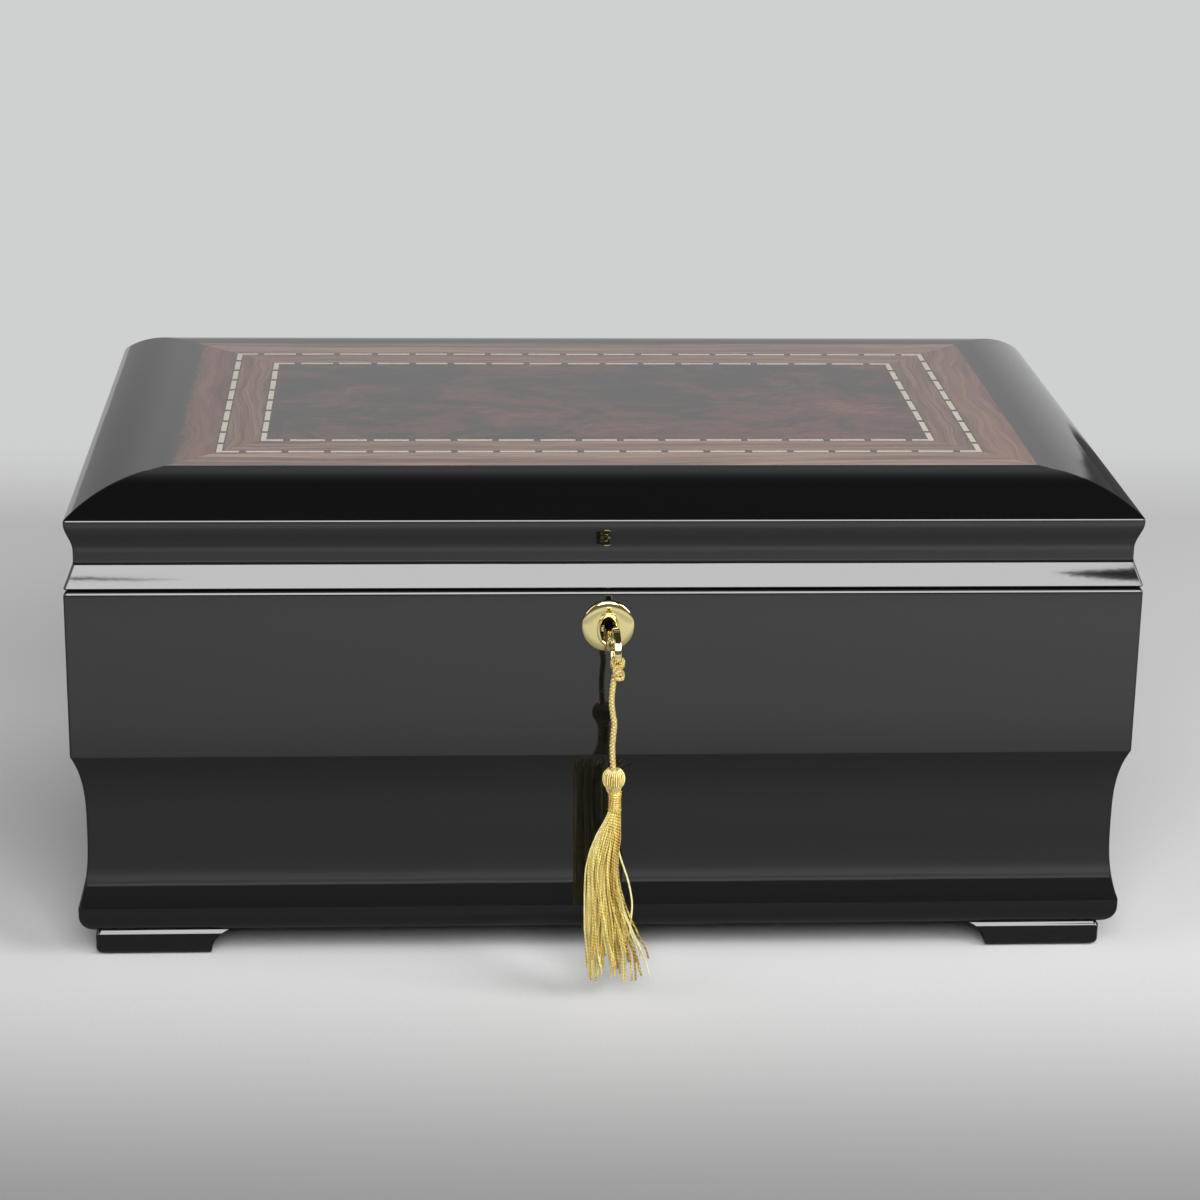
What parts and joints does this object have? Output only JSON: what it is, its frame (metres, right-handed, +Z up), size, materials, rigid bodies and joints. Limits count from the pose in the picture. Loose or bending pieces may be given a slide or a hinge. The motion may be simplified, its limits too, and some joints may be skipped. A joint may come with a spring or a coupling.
{
  "type": "desktop humidor",
  "caption": "Black lacquered desktop humidor with coved moulded case, hinged lid inlaid with burl and stringing, cedar lining, lift-out tray, key lock and a gold tassel on its key.",
  "frame": {"origin": "on the table under the middle of the footprint, with the key in its lock and without the tassel", "axes": "+X to the right along the length, front faces -Y, +Z up"},
  "size_m": [0.4568, 0.3561, 0.2133],
  "materials": {
    "black_lacquer": "black piano lacquer, high gloss",
    "felt": "pressed felt",
    "cedar": "bare planed cedar",
    "brass": "polished",
    "steel": "satin",
    "burl_veneer": "burl veneer under gloss lacquer",
    "band_veneer": "straight-grained veneer under gloss lacquer",
    "stringing": "pale and dark inlay under gloss lacquer",
    "dial": "printed dial",
    "black_plastic": "satin moulded plastic",
    "gold_thread": "satin gold thread"
  },
  "bodies": {
    "case": {"back_wall": "black_lacquer", "bottom_board": "black_lacquer", "case_leaf_left": "brass", "case_leaf_right": "brass", "case_liner_back": "cedar", "case_liner_front": "cedar", "case_liner_left": "cedar", "case_liner_right": "cedar", "cedar_floor": "cedar", "escutcheon": "brass", "felt_pad_back_left": "felt", "felt_pad_back_right": "felt", "felt_pad_front_left": "felt", "felt_pad_front_right": "felt", "foot_back_left": "black_lacquer", "foot_back_right": "black_lacquer", "foot_front_left": "black_lacquer", "foot_front_right": "black_lacquer", "front_wall": "black_lacquer", "hinge_pin_left": "steel", "hinge_pin_right": "steel", "left_wall": "black_lacquer", "lock_case": "brass", "right_wall": "black_lacquer", "tray_rest_left": "cedar", "tray_rest_right": "cedar"},
    "lid": {"burl_panel": "burl_veneer", "humidifier_case": "black_plastic", "humidifier_grille": "black_plastic", "hygrometer_case": "brass", "hygrometer_dial": "dial", "inner_band": "band_veneer", "inner_stringing": "stringing", "lid_ceiling": "cedar", "lid_leaf_left": "brass", "lid_leaf_right": "brass", "lid_liner_back": "cedar", "lid_liner_front": "cedar", "lid_liner_left": "cedar", "lid_liner_right": "cedar", "lid_rail_back": "black_lacquer", "lid_rail_front": "black_lacquer", "lid_rail_left": "black_lacquer", "lid_rail_right": "black_lacquer", "lid_top_board": "black_lacquer", "link_plate": "brass", "outer_band": "band_veneer", "outer_stringing": "stringing"},
    "stay_left": {"hinge_stay_left": "brass"},
    "stay_right": {"hinge_stay_right": "brass"},
    "key": {"key": "brass"},
    "bolt": {"lock_bolt": "steel"},
    "tassel_knot": {"tassel_knot": "gold_thread"},
    "tassel": {"tassel_cord": "gold_thread", "tassel_head": "gold_thread", "tassel_skirt": "gold_thread"},
    "tray": {"tray": "cedar"},
    "tray_divider": {"tray_divider": "cedar"},
    "base_divider": {"base_divider": "cedar"},
    "needle": {"hygrometer_needle": "black_plastic"}
  },
  "joints": [
    {"name": "lid_hinge", "type": "hinge", "parent": "case", "child": "lid", "pos_m": [0, 0.1671, 0.17045], "axis": [-1, 0, 0], "range_deg": [0, 95]},
    {"name": "stay_left_swing", "type": "hinge", "parent": "case", "child": "stay_left", "pos_m": [0, 0.1671, 0.17045], "axis": [-1, 0, 0], "range_deg": [0, 47.5]},
    {"name": "stay_right_swing", "type": "hinge", "parent": "case", "child": "stay_right", "pos_m": [0, 0.1671, 0.17045], "axis": [-1, 0, 0], "range_deg": [0, 47.5]},
    {"name": "key_turn", "type": "hinge", "parent": "case", "child": "key", "pos_m": [0, -0.1325, 0.1543], "axis": [0, 1, 0], "range_deg": [0, 90]},
    {"name": "bolt_slide", "type": "slide", "parent": "case", "child": "bolt", "axis": [-1, 0, 0], "range_m": [0, 0.004]},
    {"name": "tassel_hang", "type": "hinge", "parent": "key", "child": "tassel_knot", "pos_m": [0, -0.1721, 0.1543], "axis": [0, 1, 0], "range_deg": [-90, 0]},
    {"name": "tassel_swing", "type": "hinge", "parent": "tassel_knot", "child": "tassel", "pos_m": [0, -0.1721, 0.14705], "axis": [1, 0, 0], "range_deg": [-45, 8]},
    {"name": "tray_lift", "type": "slide", "parent": "case", "child": "tray", "axis": [0, 0, 1], "range_m": [0, 0.006]},
    {"name": "tray_divider_lift", "type": "slide", "parent": "tray", "child": "tray_divider", "axis": [0, 0, 1], "range_m": [0, 0.005]},
    {"name": "base_divider_lift", "type": "slide", "parent": "case", "child": "base_divider", "axis": [0, 0, 1], "range_m": [0, 0.018]},
    {"name": "hygrometer_needle_turn", "type": "hinge", "parent": "lid", "child": "needle", "pos_m": [0.115, 0.0165, 0.1845], "axis": [0, 0, 1], "range_deg": [-189, 81]}
  ],
  "couplings": [
    {"joint": "stay_left_swing", "follows": "lid_hinge", "ratio": 0.5},
    {"joint": "stay_right_swing", "follows": "lid_hinge", "ratio": 0.5},
    {"joint": "bolt_slide", "follows": "key_turn", "m_per_rad": 0.002546},
    {"joint": "tassel_hang", "follows": "key_turn", "ratio": -1}
  ]
}
